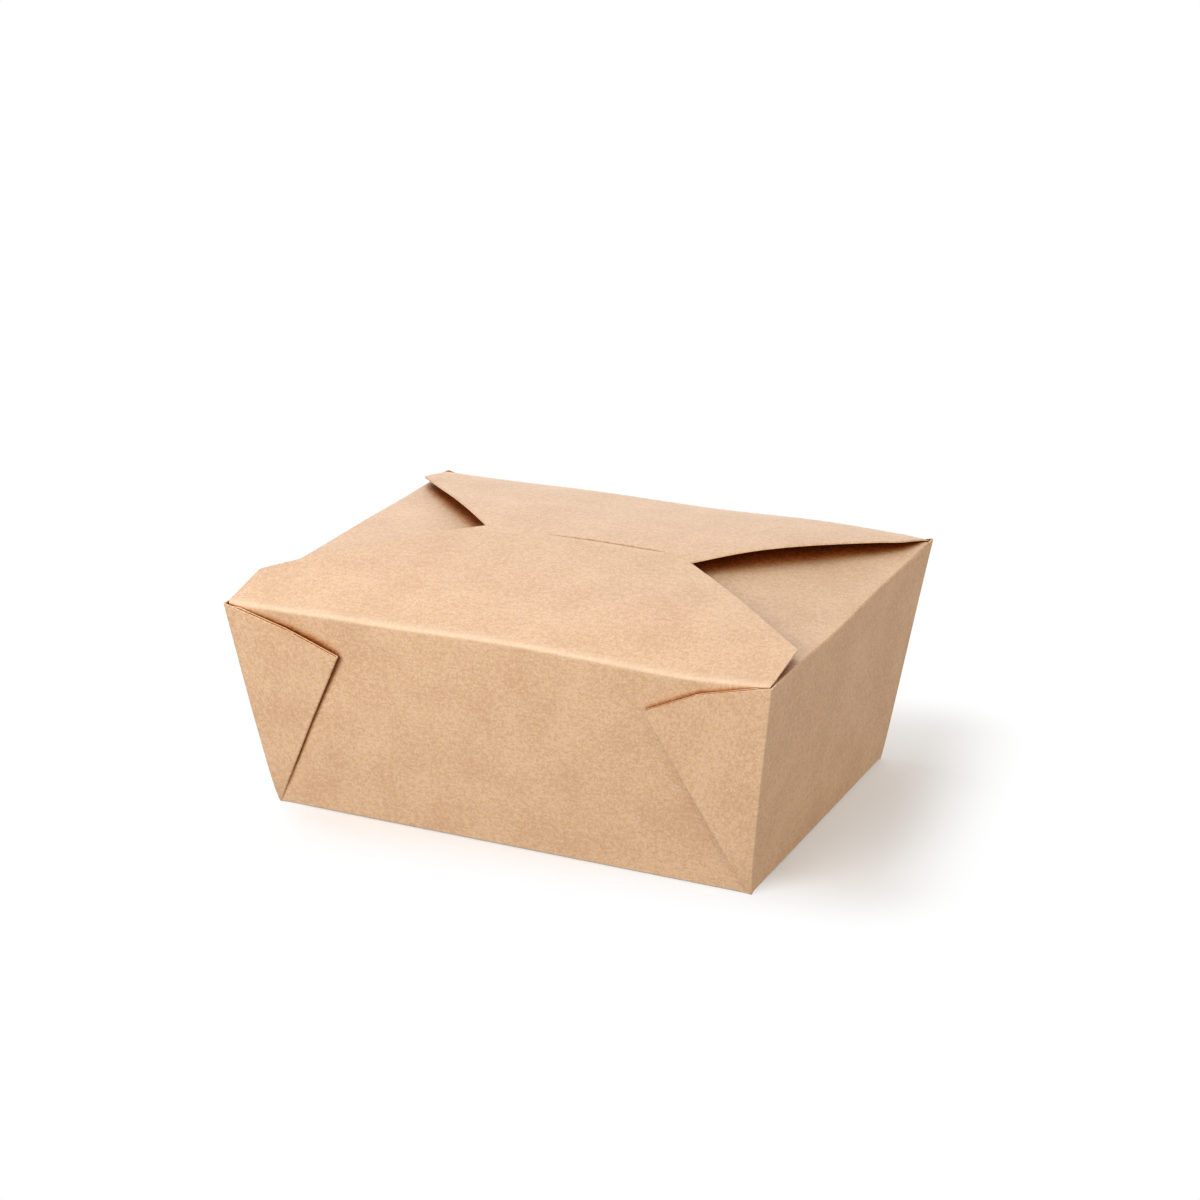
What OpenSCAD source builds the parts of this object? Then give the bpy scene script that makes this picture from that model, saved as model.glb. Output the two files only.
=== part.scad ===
// Folded takeaway carton, made from one creased kraft board blank.
// A flat base, four walls that flare outwards, four webbed corners folded
// double against the long walls, and a lid of four flaps. The front flap lies
// on top, and its tongue is tucked down through a slit in the back flap.
// Origin: middle of the base's underside. +X along the length, +Z up,
// and the front flap's wall faces -Y.

/* [Carton] */
// Length over the end walls at the rim
rim_length = 171; // [156:1:200]
// Depth over the folded corners at the rim
rim_depth = 140; // [116:1:160]
// Length of the base over the end walls
base_length = 152; // [130:1:168]
// Depth of the base over the folded corners
base_depth = 110; // [90:1:134]
// Height of the rim crease above the table
height = 68; // [55:1:100]

/* [Board] */
// Thickness of the coated kraft board
board = 0.5; // [0.35:0.05:0.7]
// Air left between the layers of a folded corner
layer_gap = 0.25; // [0.15:0.05:0.4]

/* [Corner folds] */
// Length of the diagonal fold of a corner web
web_fold_length = 62.6; // [35:0.2:64]
// Length of the web's cut edge that runs square to its diagonal fold
web_square_cut = 18; // [8:0.5:24]
// Straight drop of the front and back walls' top edge below the crease
wall_top_drop = 0.05; // [0.05:0.05:0.6]

/* [Lid] */
// Rise of the arched flaps from the rim to the middle of the lid
lid_rise = 8; // [4:0.5:14]
// Depth of the ears where a long flap keeps the rim's full length
ear_depth = 19; // [10:0.5:30]
// How much each ear narrows towards its tip
ear_taper = 0.8; // [0.2:0.1:3]
// Reach of the back flap past the middle line, towards the front
back_flap_reach = 9; // [4:0.5:16]
// Half the width of the back flap's free edge
back_flap_tip = 28; // [25:0.5:40]
// Half the width of the front flap's free edge
front_flap_tip = 32; // [25:0.5:40]
// Place of the tucked tongue behind the lid's middle line
tuck_place = 4; // [0:0.5:8]
// Air between the front flap and the board that it lies on
flap_gap = 0.3; // [0.25:0.05:0.5]
// Length of the end flaps, from the rim crease to their free edge
end_flap_length = 54; // [40:1:62]
// Width of the end flaps' free edge
end_flap_tip = 24; // [12:1:50]
// Slope of the end flaps, rising from the rim to their free edge
end_flap_slope = 4.5; // [0:0.5:6]
// Distance from a rim corner to the root of an end flap
corner_relief = 4; // [3.5:0.5:8]
// Diameter of the bead that creasing leaves along the front flap's hinge line
crease_bead = 0.6; // [0.4:0.05:0.8]

/* [Tongue and slit] */
// Width of the tongue
tongue_width = 40; // [25:1:46]
// Length of the tongue below its fold
tongue_length = 12; // [8:0.5:18]
// Radius of the tongue's curved free edge
tongue_tip_radius = 34; // [26:1:60]
// Clearance between the tongue and each long side of the slit
slit_gap = 0.4; // [0.3:0.05:0.8]
// Clearance between the tongue and each end of the slit
slit_end_gap = 0.8; // [0.4:0.1:3]

/* [Hidden] */
$fn = 96;
// Facets of the shallow lid arches, whose radius is about twice the length
arch_facets = 720;
kraft = [0.80, 0.62, 0.44];
kraft_lid = [0.84, 0.67, 0.49];

// Lean of the walls from upright, at the ends and at the long sides
end_flare = atan((rim_length - base_length) / 2 / height);
side_flare = atan((rim_depth - base_depth) / 2 / height);
// Distance from one layer of a folded corner to the next
layer_pitch = board + layer_gap;
// Heights of the inner faces of the base and of the rim creases
floor_z = board;
rim_z = height - board;
// Top of the walls that a flap folds from, just inside the flap's outer face
crease_top_z = rim_z + 0.8 * board;
// Board left whole at the creases of a corner, where its layers turn round
crease_land = board / 2;
// How far a cut runs past the surface that it opens
beyond = 5;

// The web's two halves share its flat angle, so each half keeps this much
corner_lean = atan(tan(end_flare) * cos(side_flare));
side_lean = atan(tan(side_flare) * cos(end_flare));
web_half_angle = (90 - corner_lean - side_lean) / 2;
// Lean of the diagonal fold from the wall's line of slope
fold_lean = web_half_angle - corner_lean;

// The front flap's hinge line is its root, at the middle of its thickness
hinge_y = -side_y(rim_z) - board / 2;
hinge_z = height;
wall_top_z = rim_z - wall_top_drop;
flap_half_length = end_x(rim_z) - flap_gap;

// Arches of the two long flaps: underside of the back one, middle of the front one
back_radius = arch_radius(side_y(rim_z), lid_rise);
front_rise = lid_rise + flap_gap + board / 2;
front_radius = arch_radius(-hinge_y, front_rise);
back_centre_z = rim_z + lid_rise - back_radius;
front_centre_z = hinge_z + front_rise - front_radius;

// The tongue follows a circle about the hinge line, so that it draws straight out
tuck_z = front_centre_z + sqrt(pow(front_radius, 2) - pow(tuck_place, 2));
tongue_radius = norm([tuck_place - hinge_y, tuck_z - hinge_z]);
tongue_start = atan2(tuck_z + board / 2 - hinge_z, tuck_place - hinge_y);
tongue_sweep = tongue_length / tongue_radius * 180 / PI;
slit_z = back_centre_z + back_radius + board / 2;
slit_y = hinge_y + sqrt(pow(tongue_radius, 2) - pow(slit_z - hinge_z, 2));

// Inner face of the right end wall at a height
function end_x(z) =
    base_length / 2 - board / cos(end_flare) + z * tan(end_flare);

// Inner face of a long side at a height: 0 is the wall, 1 and 2 its web layers
function side_y(z, layer = 0) =
    base_depth / 2 + z * tan(side_flare)
    - (board + (2 - layer) * layer_pitch) / cos(side_flare);

function arch_radius(half_span, rise) =
    (pow(half_span, 2) + pow(rise, 2)) / (2 * rise);

// Points in the plane of a long wall, along X and up the slope
function wall_point(z) = [end_x(z), z / cos(side_flare)];
function left_copy(points) =
    [for (i = [len(points) - 1 : -1 : 0]) [-points[i][0], points[i][1]]];

// Point of the right web: a run up the diagonal fold, then a run square to it
function web_point(along, across) =
    wall_point(floor_z)
    + along * [-sin(fold_lean), cos(fold_lean)]
    + across * [cos(fold_lean), sin(fold_lean)];

// Block whose four sides lean like the walls, from the crossing of two profiles.
// The sides lie at the given distances outside the walls' inner faces.
module flared_block(end_out, side_out, z_low, z_high) {
    x_low = end_x(z_low) + end_out / cos(end_flare);
    x_high = end_x(z_high) + end_out / cos(end_flare);
    y_low = side_y(z_low) + side_out / cos(side_flare);
    y_high = side_y(z_high) + side_out / cos(side_flare);
    intersection() {
        rotate([90, 0, 0])
            linear_extrude(height = 2 * rim_depth, center = true)
                polygon([[-x_low, z_low], [x_low, z_low], [x_high, z_high], [-x_high, z_high]]);
        rotate([90, 0, 90])
            linear_extrude(height = 2 * rim_length, center = true)
                polygon([[-y_low, z_low], [y_low, z_low], [y_high, z_high], [-y_high, z_high]]);
    }
}

// Draws its children in the front wall's frame: along X, up the slope, and
// outwards from the wall's inner face
module front_wall_frame() {
    translate([0, -side_y(0), 0])
        rotate([90 + side_flare, 0, 0])
            children();
}

// Wall plane between the two corner creases, open below and above the wall
module between_creases() {
    inset = [-crease_land, 0];
    right = [wall_point(-beyond) + inset, wall_point(rim_z + beyond) + inset];
    polygon(concat(right, left_copy(right)));
}

// Wall plane on the corner's side of the right web's diagonal fold
module inside_web() {
    fold_land = board;
    polygon([
        web_point(0, fold_land),
        web_point(height * 2, fold_land),
        web_point(height * 2, height),
        web_point(0, height)
    ]);
}

// Everything in front of the front wall that isn't one of its folded webs: the
// open face between them, the air under the inner layers and between the layers
module web_relief() {
    right = [
        wall_point(floor_z) - [0, beyond],
        web_point(0, 0),
        web_point(web_fold_length, 0),
        web_point(web_fold_length, web_square_cut),
        wall_point(wall_top_z),
        wall_point(wall_top_z) + [0, beyond]
    ];
    front_wall_frame() {
        translate([0, 0, board])
            linear_extrude(height = layer_gap)
                between_creases();
        translate([0, 0, board + layer_gap / 2])
            linear_extrude(height = beyond)
                polygon(concat(right, left_copy(right)));
        translate([0, 0, board + layer_pitch])
            linear_extrude(height = layer_gap)
                for (x_side = [0, 1])
                    mirror([x_side, 0])
                        intersection() {
                            between_creases();
                            inside_web();
                        }
    }
}

// Tub: base and four leaning walls, with a web folded double on each corner.
// The end walls run past the long walls and turn into the webs' outer layers.
module tub() {
    difference() {
        flared_block(board, board + 2 * layer_pitch, 0, crease_top_z);
        flared_block(0, 0, floor_z, crease_top_z + beyond);
        web_relief();
        mirror([0, 1, 0])
            web_relief();
        translate([-rim_length, -rim_depth, wall_top_z])
            cube([2 * rim_length, rim_depth - side_y(rim_z) + corner_relief / 2, beyond]);
    }
}

// Right end flap, folded in first and lying under both long flaps
module end_flap() {
    root_half = side_y(rim_z) - corner_relief;
    root_lap = board / 2;
    translate([end_x(rim_z), 0, rim_z])
        rotate([0, end_flap_slope, 0])
            linear_extrude(height = board)
                polygon([
                    [root_lap, -root_half],
                    [root_lap, root_half],
                    [-end_flap_length, end_flap_tip / 2],
                    [-end_flap_length, -end_flap_tip / 2]
                ]);
}

// Shell of an arched flap, curved about a line along X: its inner face's radius
module arched_board(inner_radius, centre_z) {
    length = rim_length + 2;
    translate([0, 0, centre_z])
        rotate([0, 90, 0])
            difference() {
                cylinder(r = inner_radius + board, h = length, center = true, $fn = arch_facets);
                cylinder(r = inner_radius, h = length + 2, center = true, $fn = arch_facets);
            }
}

// Upright prism over the outline of a long flap that comes from the back rim:
// its root, its ears along the end walls and its free edge
module flap_outline(root_y, ear_y, tip_y, tip_half) {
    right = [
        [tip_half, tip_y],
        [flap_half_length - ear_taper, ear_y],
        [flap_half_length, root_y]
    ];
    translate([0, 0, rim_z - beyond])
        linear_extrude(height = lid_rise + 2 * beyond)
            polygon(concat(right, left_copy(right)));
}

// Back flap: arched board with ears at the rim and the slit for the tongue
module back_flap() {
    slit = [tongue_width + 2 * slit_end_gap, board + 2 * slit_gap, 6 * board];
    difference() {
        intersection() {
            arched_board(back_radius, back_centre_z);
            flap_outline(side_y(rim_z) + 0.8 * board, side_y(rim_z) - ear_depth,
                -back_flap_reach, back_flap_tip);
        }
        translate([0, slit_y, slit_z])
            cube(slit, center = true);
    }
}

// The folded carton, without the front flap that opens
module carton() {
    color(kraft) {
        tub();
        for (x_side = [0, 1])
            mirror([x_side, 0, 0])
                end_flap();
        back_flap();
    }
}

// Tongue: a strip on a circle about the hinge line, with a curved free edge
module tongue() {
    bottom = tuck_z - tongue_length;
    intersection() {
        translate([0, hinge_y, hinge_z])
            rotate([90, 0, 90])
                rotate([0, 0, tongue_start - tongue_sweep])
                    rotate_extrude(angle = tongue_sweep)
                        translate([tongue_radius - board / 2, -tongue_width / 2])
                            square([board, tongue_width]);
        translate([0, tuck_place + 4 * board, bottom + tongue_tip_radius])
            rotate([90, 0, 0])
                cylinder(r = tongue_tip_radius, h = 8 * board);
    }
}

// Front flap: arched board with ears at the rim and the tongue at its free edge
module front_flap() {
    color(kraft_lid) {
        intersection() {
            arched_board(front_radius - board / 2, front_centre_z);
            mirror([0, 1, 0])
                flap_outline(-hinge_y, side_y(rim_z) - ear_depth,
                    -tuck_place, front_flap_tip);
        }
        translate([0, hinge_y, hinge_z])
            rotate([0, 90, 0])
                cylinder(d = crease_bead, h = 2 * flap_half_length, center = true);
        tongue();
    }
}

carton();
front_flap();
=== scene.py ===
"""Looks of the folded takeaway carton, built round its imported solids.

The carton is one creased sheet of kraft board. Here it is two meshes, because
the front flap opens: the carton sheet with its webbed corners, and the front
wall with its flap and tongue, which bends at the rim crease.
All lengths are metres. X runs along the length, -Y is the front, Z is up.
"""

import math
from functools import partial

import bmesh
import bpy
import numpy as np
from bpy.props import FloatProperty, FloatVectorProperty, PointerProperty
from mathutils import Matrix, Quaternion, Vector


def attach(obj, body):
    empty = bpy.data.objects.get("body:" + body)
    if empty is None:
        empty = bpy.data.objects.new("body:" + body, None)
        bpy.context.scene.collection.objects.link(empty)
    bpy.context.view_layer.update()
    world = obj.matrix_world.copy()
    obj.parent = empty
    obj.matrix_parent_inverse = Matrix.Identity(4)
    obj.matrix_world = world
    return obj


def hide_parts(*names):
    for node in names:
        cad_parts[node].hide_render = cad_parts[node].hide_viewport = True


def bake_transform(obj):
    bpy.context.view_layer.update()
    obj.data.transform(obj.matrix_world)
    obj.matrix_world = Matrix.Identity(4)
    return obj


bl_info = {
    "name": "Folded takeaway carton",
    "version": (1, 0, 0),
    "blender": (4, 5, 0),
    "location": "View3D > Sidebar > Carton",
    "description": "Builds a creased kraft board carton with an opening front flap",
    "category": "Object",
}

MM = 0.001
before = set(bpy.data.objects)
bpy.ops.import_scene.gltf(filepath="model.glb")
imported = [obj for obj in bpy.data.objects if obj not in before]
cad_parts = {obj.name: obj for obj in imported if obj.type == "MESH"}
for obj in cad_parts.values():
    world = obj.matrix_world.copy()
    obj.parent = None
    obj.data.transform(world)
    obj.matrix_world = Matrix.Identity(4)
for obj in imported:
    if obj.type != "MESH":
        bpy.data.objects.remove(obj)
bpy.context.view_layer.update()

# Middle of the board's thickness where two panels would meet without rounding
BASE_CORNER = np.array([75.75, 54.2, 0.25]) * MM
END_RIM = np.array([85.2, 67.72]) * MM  # distance from the middle line, height
END_RUN, END_HEIGHT = END_RIM - BASE_CORNER[[0, 2]]
END_SLOPE = math.hypot(END_RUN, END_HEIGHT)
END_UP = np.array([END_RUN, 0, END_HEIGHT]) / END_SLOPE
RIM_HALF_DEPTH = 69.6 * MM  # half the depth over the corners at the rim
WEB_TOP = 67.9 * MM  # height of a web's cut edge at the rim corner
PITCH = 0.75 * MM  # from one layer of a folded corner to the next
FOLD_INSET = 0.85 * MM  # room that the first fold of a corner takes
CORNER_RADIUS = 0.55 * MM  # of the crease between an end wall and its web
PARTING = 5 * MM  # distance from the base corner over which a web's layers part
SPRING_AT = 60 * MM  # distance from the base corner at which a web's spring is given
NOTCH_STEP = 0.3 * MM  # small step in the web's cut edge where the die's two blades meet
OVER_CORNER = (0, -1, 0.235)  # way that a long flap takes from the rim corner
AT_TIP = (0, -1, 0.012)  # way of the front flap at its free edge

# Each corner's fold, by the signs of x and y: how far the web springs out, by how
# many degrees it is narrower than the flare asks for, where its notch is as a share
# of its angle, and how many millimetres longer its rays to the notch and diagonal are
FOLDS = {
    (-1, -1): (0.5 * MM, 1.8, 0.60, -1.5, 0.2),
    (1, -1): (0.1 * MM, 0.4, 0.547, 0.4, 0.5),
    (-1, 1): (0.5 * MM, 0.0, 0.54, 0.0, 0.0),
    (1, 1): (0.7 * MM, 0.0, 0.54, 0.0, 0.0),
}

# Handling and a slightly racked fold have moved each corner by this much:
# base then rim, front then back, left then right, in millimetres
CORNER_SHIFTS = np.array([
    [[[-1.02, -0.6, 0], [-0.19, -0.07, 0]], [[-0.12, -0.11, 0], [-0.04, -0.56, 0]]],
    [[[1.06, 0.25, -1.21], [0.4, 0.3, 0.49]], [[0.83, 0.66, 0.77], [-0.91, 0.14, 1.17]]],
])
# Places where the board is pushed out of line: middle, reach and move, in millimetres
PUSHES = (
    ((-2, -68, 68), (30, 22, 10), (0, 0, 0.9)),
    ((62, -68, 68), (15, 22, 10), (0, 0, -0.7)),
)
SETTLED = 30 * MM  # height from which the walls' unevenness is full
LID_TWIST = -0.014  # rise of the lid's middle per length along X
TWIST_REACH = 30 * MM  # distance from the middle line over which the twist fades

# Cuts of the lid, on the flaps' own distances from the middle line
SLIT_MIDDLE, SLIT_HALF, TONGUE_HALF = 2.2 * MM, 20.8 * MM, 20.1 * MM
SLIT_ROWS = (2.75 * MM, 1.5 * MM)
BACK_STOP = 9 * MM  # a row of the back flap before its slit
TONGUE_FOLD = -1.25 * MM  # where the tongue's fold starts

# Lengths that the creases take up on the flat blank, and the tongue's place there
BASE_ARC, RIM_ARC, END_ARC, TONGUE_ARC = 1.0 * MM, 1.7 * MM, 1.4 * MM, 1.5 * MM
TONGUE_ON_BLANK = 0.2

# Rows and columns of the grids
WALL_ROWS = np.array([
    0, 0.006, 0.014, 0.025, 0.04, 0.06, 0.085, 0.12, 0.16, 0.21, 0.27, 0.33, 0.39, 0.45,
    0.51, 0.57, 0.63, 0.69, 0.74, 0.79, 0.83, 0.87, 0.90, 0.93, 0.955, 0.975, 0.99, 1.0,
])
CREASE_STEPS = 7
EAR_ZONE = 3.2 * MM  # either side of an ear's tip, where the flap's rows are fine
EAR_STEP, FLAP_STEP = 0.4 * MM, 2.3 * MM
LONG_STEP, END_STEP = 0.045, 0.05  # column steps, as shares of half a wall
SEAM = 0.89  # where the two meshes meet on the base, as a share of half its depth
STRIP_ROWS = np.array([1.0, 0.9965, 0.991, 0.983, 0.972, 0.958, 0.925, SEAM])
NEAR = 1e-6


def unit(vector):
    """A vector divided by its length."""
    vector = np.asarray(vector, float)
    return vector / np.linalg.norm(vector, axis=-1, keepdims=True)


def turn_between(before, after):
    """Angle between two unit directions."""
    return math.acos(float(np.dot(before, after)))


def rise(value, reach):
    """A curve that starts at 0 and settles at 1: one minus e to the power of -value / reach."""
    return 1 - np.exp(-np.asarray(value) / reach)


def soft_least(first, second, width):
    """The lesser of two values, with their crossing rounded over a width."""
    return first - width * np.logaddexp(0, (first - second) / width)


def crease_rows(corner, before, after, radius, steps=CREASE_STEPS):
    """Rows of points round a crease.

    corner is where the two panels would meet, before and after are their unit
    directions. The board leaves the first panel at a reach of radius * tan(turn / 2):
    corner - before * reach + radius * (sin(a) * before + (1 - cos(a)) * side),
    for a from 0 to the turn, with side square to before and towards after.
    """
    before, after = unit(before), unit(after)
    cosine = np.sum(before * after, axis=-1, keepdims=True)
    turn = np.arccos(np.clip(cosine, -1, 1))
    side = unit(after - before * cosine)
    radius = np.asarray(radius, float)[:, None]
    angle = np.linspace(0, 1, steps + 1)[:, None, None] * turn
    start = corner - before * radius * np.tan(turn / 2)
    return start + radius * (np.sin(angle) * before + (1 - np.cos(angle)) * side)


def columns(*breaks, spacing, end_steps=(0.35, 0.9, 1.7, 2.8, 4.2)):
    """Column positions from -1 to 1, even on both sides of 0, finer at the ends.

    breaks are positions that need a column, spacing is the usual step, and
    end_steps are distances from the end in hundredths of the half width.
    """
    ends = 1 - np.array(end_steps) / 100
    marks = np.array(sorted({0.0, *breaks, float(ends[-1])}))
    inner = [
        np.linspace(a, b, max(1, round((b - a) / spacing)) + 1)
        for a, b in zip(marks[:-1], marks[1:])
    ]
    half = np.unique(np.round(np.concatenate([*inner, ends, [1.0]]), 9))
    return np.concatenate([-half[:0:-1], half])


def crease_radius(share, radius):
    """Crease radius along a base edge: full in the middle and 0 at both corners."""
    return radius * rise((1 - np.abs(share)) * 100, 1.6)


def foot_crease(share, along, up, radius):
    """A base edge without rounding, and the rows of its crease.

    The edge runs along X (along is 0) under a long wall, or along Y (1) under an
    end wall: the base corner with that coordinate times the share.
    """
    line = np.tile(BASE_CORNER, (len(share), 1))
    line[:, along] *= share
    outwards = np.eye(3)[1 - along]
    return line, crease_rows(line, outwards, up, crease_radius(share, radius))


def on_blank(points, run, along):
    """Place on the flat blank: along the panel as it stands, and run for each row across it."""
    run = np.broadcast_to(run[:, None], points.shape[:2])
    return np.stack([points[..., 0], run] if along == 0 else [run, points[..., 1]], -1)


def base_run(along, rows):
    """Places on the blank across a base crease, half of its arc either side of the edge."""
    return BASE_CORNER[1 - along] + np.linspace(-1, 1, rows) * BASE_ARC / 2


class Part:
    """A patch of the sheet: grid points, their place on the blank, how pale its creases are from
    stretched fibres and a painted highlight, and faces kept.
    """

    def __init__(self, points, blank, wear=0.0, keep=None):
        self.points = points
        self.blank = blank
        self.wear = np.broadcast_to(wear, points.shape[:2])
        self.keep = keep

    def mirrored(self, x_sign, y_sign):
        """A copy on another side of the carton: x and y times their signs."""
        sign = np.array([x_sign, y_sign, 1.0])
        return Part(self.points * sign, self.blank * sign[:2], self.wear, self.keep)


class LongSide:
    """Measures of a long wall and its flap, given in millimetres.

    Distances, with y, are from the middle line. rim is the rim crease's distance and
    height, top the height of the flap's arch, tip the distance of its free edge.
    outline is the flap's cut outline on the left (-1) and right (1): half length at
    the ear's tip, distance of the ear's tip, half length at the free edge. dents are
    places where the wall is pushed in: x, z, reach both ways, depth. lifts are places
    where the flap springs up: x, y, reach both ways, lift, least y where it acts.
    """

    def __init__(self, rim, top, tip, outline, dents=(), lifts=()):
        self.rim, self.top, self.tip = np.array(rim) * MM, top * MM, tip * MM
        self.outline = {hand: np.array(cut) * MM for hand, cut in outline.items()}
        self.dents = np.array(dents).reshape(-1, 5) * MM
        self.lifts = np.array(lifts).reshape(-1, 6) * MM
        run, height = self.rim[0] - BASE_CORNER[1], self.rim[1] - BASE_CORNER[2]
        self.slope = math.hypot(run, height)
        self.up = np.array([0, run, height]) / self.slope
        self.out = np.array([0, height, -run]) / self.slope
        lift = self.top - self.rim[1]
        self.radius = (self.rim[0] ** 2 + lift**2) / (2 * lift)

    def arch(self, reach):
        """Height of the flap: a circle through both rims and the top of the lid."""
        return self.top - self.radius + np.sqrt(self.radius**2 - reach**2)

    def arch_start(self):
        """Unit direction of the arch where it leaves the rim."""
        rim = self.rim[0]
        return np.array([0, -math.sqrt(self.radius**2 - rim**2), rim]) / self.radius

    def half_width(self, hand, reach, root, ragged=0.0):
        """Half length of the flap at a distance from the middle line, left or right.

        The lesser of two straight lines, rounded where they cross: the ear's edge,
        from the root to the ear's tip, and the cut from there to the free edge.
        The cut's loose fibres are three sines of the distance.
        """
        ear_half, ear_at, tip_half = self.outline[hand]
        ear = root - (root - ear_half) * (self.rim[0] - reach) / (self.rim[0] - ear_at)
        cut = tip_half + (reach - self.tip) * (ear_half - tip_half) / (ear_at - self.tip)
        waves = np.sin(reach * 3.1e3) + np.sin(reach * 5.3e3 + 1.0) + np.sin(reach * 1.37e3)
        return soft_least(ear, cut + ragged * waves, 0.15 * MM)

    def half_widths(self, reach, root, ragged, share):
        """Half length for each row and column: the left where share is negative, else the right."""
        left, right = [self.half_width(hand, reach, root, ragged)[:, None] for hand in (-1, 1)]
        return np.where(share[None] < 0, left, right)

    def cut_ends(self, reach, root, half):
        """Column shares at which a cut across the flap ends, half long about the slit's middle."""
        left, right = [float(self.half_width(hand, reach, root)) for hand in (-1, 1)]
        return round((SLIT_MIDDLE - half) / left, 9), round((SLIT_MIDDLE + half) / right, 9)

    def flap_rows(self, start, stops):
        """Distances from the middle line for the rows of the flap, finer at the ear's tip."""
        ear_at = np.mean([cut[1] for cut in self.outline.values()])
        marks = [start, ear_at + EAR_ZONE, ear_at - EAR_ZONE, *stops]
        steps = [FLAP_STEP, EAR_STEP] + [FLAP_STEP] * len(stops)
        return np.concatenate([
            np.linspace(a, b, max(1, round(abs(b - a) / step)) + 1)[1:]
            for a, b, step in zip(marks[:-1], marks[1:], steps)
        ])


FRONT = LongSide(
    rim=(68.09, 68.0), top=75.8, tip=-2.0,
    outline={-1: (85.2, 49.4, 35.8), 1: (84.8, 48.5, 28.3)},
    dents=((-64, 58, 20, 13, 1.0), (64, 60, 18, 10, 0.5)),
)
BACK = LongSide(
    rim=(68.1, 67.7), top=75.26, tip=-9,
    outline={-1: (84.5, 52.3, 24.9), 1: (80.5, 55.0, 28.8)},
    lifts=((50.8, 58, 30, 30, 1.5, -99), (50, 14, 26, 26, 1.5, -99),
           (2.4, 2.7, 17, 8, 0.65, 2.1), (2.4, 0, 17, 6, -0.2, -99)),
)


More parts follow.
